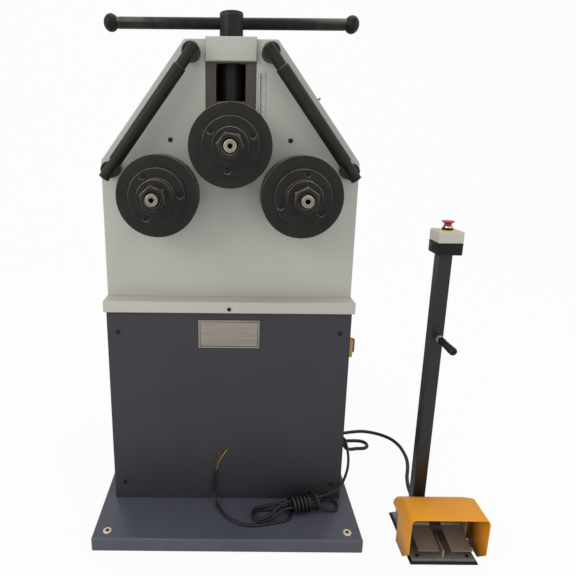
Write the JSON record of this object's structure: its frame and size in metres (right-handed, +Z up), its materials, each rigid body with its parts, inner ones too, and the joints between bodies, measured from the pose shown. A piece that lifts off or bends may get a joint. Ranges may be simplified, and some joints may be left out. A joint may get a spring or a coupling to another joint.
{
  "type": "ring roller",
  "caption": "Floor-standing profile bender: grooved rollers on a peaked housing over a cabinet, a screw-fed upper roller with a T-handle, and a corded foot switch with a stop pole.",
  "frame": {"origin": "On the floor under the middle of the machine's base tray.", "axes": "+Z is up, the rollers face -Y, and the foot switch stands to the right, at +X."},
  "size_m": [0.9285, 0.717, 1.2541],
  "materials": {
    "grey_enamel": "warm light grey enamel",
    "dark_enamel": "dark blue-grey enamel",
    "base_enamel": "dark slate enamel",
    "pole_enamel": "dark blue-grey enamel",
    "orange_enamel": "orange enamel",
    "yellow_plastic": "moulded yellow plastic",
    "black_oxide": "black oxide on turned steel",
    "bright_steel": "bright turned steel",
    "oiled_steel": "oiled ground steel",
    "cast_iron": "machined cast iron",
    "bronze": "turned bronze",
    "gearbox_paint": "blue-grey machine paint",
    "black_rubber": "black rubber or PVC",
    "black_plastic": "black moulded plastic",
    "cover_plastic": "light beige moulded plastic",
    "red_plastic": "red moulded plastic",
    "grey_plate": "brownish grey plated steel"
  },
  "bodies": {
    "frame": {"base_tray": "base_enamel", "cabinet_shell": "dark_enamel", "front_panel": "dark_enamel", "name_plate": "bright_steel", "hood_skirt": "grey_enamel", "housing_plate": "grey_enamel", "housing_shell": "grey_enamel", "back_cover": "grey_enamel", "head_block": "grey_enamel", "screw_nut": "bronze", "gib_left": "oiled_steel", "gib_right": "oiled_steel", "scale_plate": "bright_steel", "bearing_cover_left": "cast_iron", "bearing_cover_right": "cast_iron", "rear_bearing_plate": "cast_iron", "gearbox": "gearbox_paint", "motor": "gearbox_paint", "guard_rod_left": "black_oxide", "guard_rod_right": "black_oxide", "switch_plate": "yellow_plastic", "gland_plate": "black_plastic", "foot_mat": "black_rubber", "foot_base": "grey_plate", "foot_guard": "orange_enamel", "pedal_axle": "bright_steel", "pole": "pole_enamel", "grip": "black_plastic", "button_box_base": "black_plastic", "button_box_cover": "cover_plastic", "control_cable": "black_rubber", "mains_lead": "black_rubber", "mains_hank": "black_rubber", "mains_tail": "black_rubber"},
    "slide": {"slide_block": "oiled_steel", "slide_cover": "oiled_steel"},
    "screw": {"lead_screw": "oiled_steel", "t_hub": "black_oxide", "t_bar": "black_oxide"},
    "top_roller": {"roller_top": "black_oxide", "flange_top": "black_oxide", "nut_top": "black_oxide", "shaft_top": "bright_steel"},
    "left_roller": {"roller_left": "black_oxide", "flange_left": "black_oxide", "nut_left": "black_oxide", "shaft_left": "bright_steel", "gear_left": "cast_iron"},
    "right_roller": {"roller_right": "black_oxide", "flange_right": "black_oxide", "nut_right": "black_oxide", "shaft_right": "bright_steel", "gear_right": "cast_iron"},
    "pinion": {"drive_pinion": "cast_iron"},
    "left_sleeve": {"sleeve_left": "black_oxide"},
    "right_sleeve": {"sleeve_right": "black_oxide"},
    "switch": {"switch_knob": "red_plastic"},
    "stop": {"stop_button": "red_plastic"},
    "left_pedal": {"pedal_left": "grey_plate"},
    "right_pedal": {"pedal_right": "grey_plate"}
  },
  "joints": [
    {"name": "slide_travel", "type": "slide", "parent": "frame", "child": "slide", "axis": [0, 0, 1], "range_m": [0, 0.0702]},
    {"name": "screw_turn", "type": "hinge", "parent": "slide", "child": "screw", "pos_m": [0, -0.1, 1.12], "axis": [0, 0, 1], "range_deg": [0, 5040]},
    {"name": "top_roller_spin", "type": "hinge", "parent": "slide", "child": "top_roller", "pos_m": [0, -0.2335, 0.957], "axis": [0, 1, 0], "continuous": true},
    {"name": "left_roller_spin", "type": "hinge", "parent": "frame", "child": "left_roller", "pos_m": [-0.158, -0.2335, 0.849], "axis": [0, 1, 0], "continuous": true},
    {"name": "right_roller_spin", "type": "hinge", "parent": "frame", "child": "right_roller", "pos_m": [0.158, -0.2335, 0.849], "axis": [0, 1, 0], "continuous": true},
    {"name": "pinion_spin", "type": "hinge", "parent": "frame", "child": "pinion", "pos_m": [0, 0.064, 0.76277], "axis": [0, 1, 0], "continuous": true},
    {"name": "left_sleeve_spin", "type": "hinge", "parent": "frame", "child": "left_sleeve", "pos_m": [-0.18075, -0.191, 1.029], "axis": [-0.5939, 0, -0.8045], "continuous": true},
    {"name": "right_sleeve_spin", "type": "hinge", "parent": "frame", "child": "right_sleeve", "pos_m": [0.18075, -0.191, 1.029], "axis": [0.5939, 0, -0.8045], "continuous": true},
    {"name": "switch_turn", "type": "hinge", "parent": "frame", "child": "switch", "pos_m": [0.31, -0.157, 0.4655], "axis": [1, 0, 0], "range_deg": [0, 90]},
    {"name": "stop_press", "type": "slide", "parent": "frame", "child": "stop", "axis": [0, 0, -1], "range_m": [0, 0.005], "stiffness_N_per_m": 400, "springref_m": -0.003},
    {"name": "left_pedal_press", "type": "hinge", "parent": "frame", "child": "left_pedal", "pos_m": [0.4765, -0.286, 0.046], "axis": [1, 0, 0], "range_deg": [0, 8], "stiffness_Nm_per_rad": 8, "springref_deg": -11.46},
    {"name": "right_pedal_press", "type": "hinge", "parent": "frame", "child": "right_pedal", "pos_m": [0.5545, -0.286, 0.046], "axis": [1, 0, 0], "range_deg": [0, 8], "stiffness_Nm_per_rad": 8, "springref_deg": -11.46}
  ],
  "couplings": [
    {"joint": "slide_travel", "follows": "screw_turn", "m_per_rad": 0.00079577},
    {"joint": "right_roller_spin", "follows": "left_roller_spin", "ratio": 1},
    {"joint": "pinion_spin", "follows": "left_roller_spin", "ratio": -2}
  ]
}
